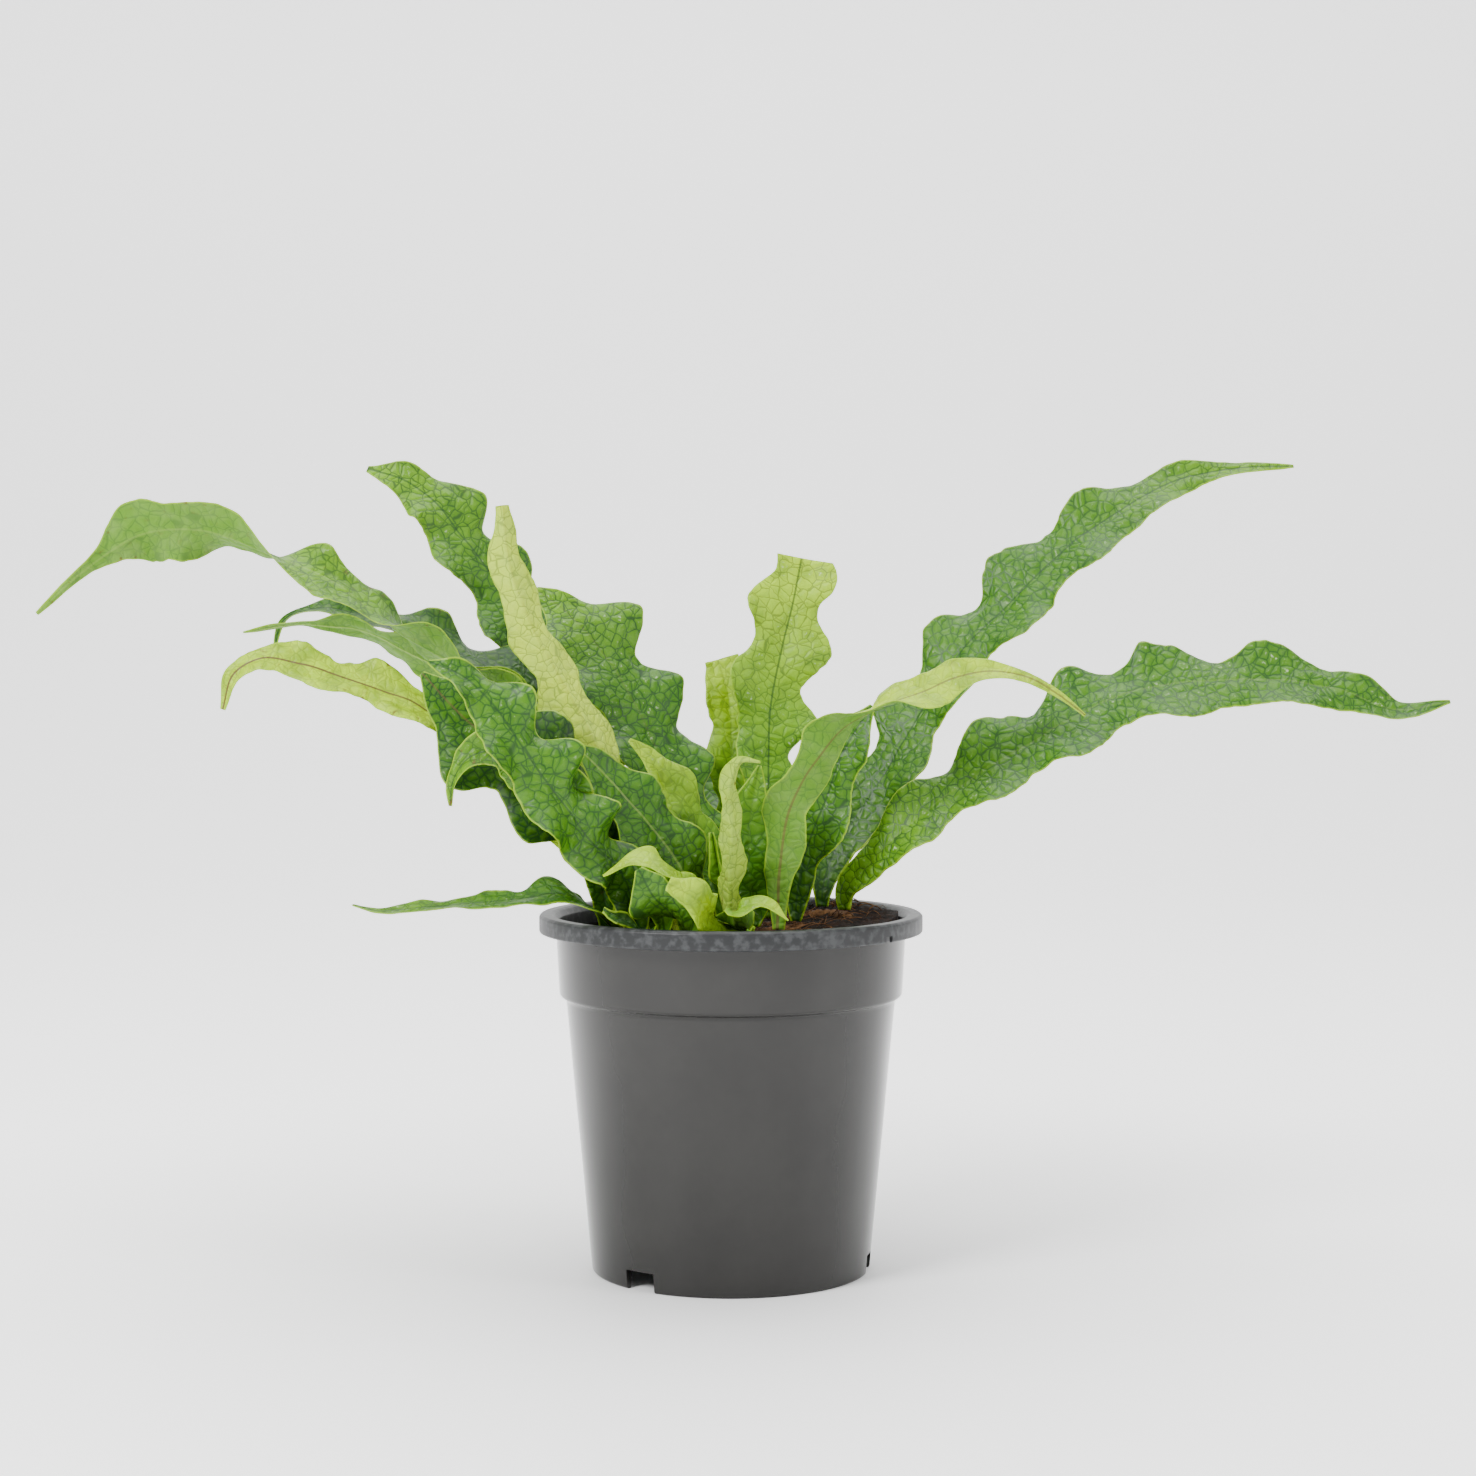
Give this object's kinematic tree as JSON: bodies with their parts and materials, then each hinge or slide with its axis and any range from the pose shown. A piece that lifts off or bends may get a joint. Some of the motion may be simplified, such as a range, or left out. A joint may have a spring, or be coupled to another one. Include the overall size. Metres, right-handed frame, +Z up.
{
  "type": "potted strap-leaved fern",
  "caption": "Live foliage fern with long wavy strap fronds, growing in a charcoal plastic nursery pot; stands on its foot as a houseplant.",
  "frame": {"origin": "middle of the pot's foot, on the surface it stands on", "axes": "+Z up through the pot's axis, +X along the widest spread of the fronds, -Y the front"},
  "size_m": [0.6939, 0.2454, 0.4054],
  "materials": {
    "pot_plastic": "charcoal moulded polypropylene, soft gloss, matte rim",
    "soil": "moist dark peat with reddish fibres",
    "rhizome_bark": "brown scaly skin",
    "frond_green": "glossy quilted leaf, dark net of veins, paler matte underside",
    "frond_young": "soft yellow-green young leaf, green net of veins",
    "frond_underside": "pale grey-green leaf underside, matte, dark veins"
  },
  "bodies": {
    "root": {"pot": "pot_plastic", "soil": "soil", "rhizome": "rhizome_bark", "frond_left_long_arching": "frond_green", "frond_left_pale_underside": "frond_underside", "frond_left_back_hooked": "frond_green", "frond_left_yellow": "frond_young", "frond_left_broad_dark": "frond_green", "frond_left_small_hooked": "frond_green", "frond_left_ruffled": "frond_green", "frond_back_left_tall": "frond_green", "frond_centre_young_pale": "frond_underside", "frond_centre_broad": "frond_green", "frond_back_short": "frond_young", "frond_centre_tall": "frond_young", "frond_front_young_folded": "frond_underside", "frond_front_short_broad": "frond_green", "frond_right_arching_twisted": "frond_young", "frond_right_upright": "frond_green", "frond_right_long_upper": "frond_green", "frond_right_long_lower": "frond_green", "frond_left_low_narrow": "frond_green", "frond_front_grey_broad": "frond_underside", "frond_front_arching": "frond_young", "frond_front_bright_blunt": "frond_young", "frond_front_rim_leaf": "frond_young", "frond_front_tiny": "frond_green", "frond_front_small_upright": "frond_green", "frond_centre_left_mid": "frond_green", "frond_centre_yellow_tip": "frond_green", "frond_front_thin_folded": "frond_green", "frond_rear_left": "frond_green", "frond_rear_right": "frond_green"}
  },
  "joints": []
}
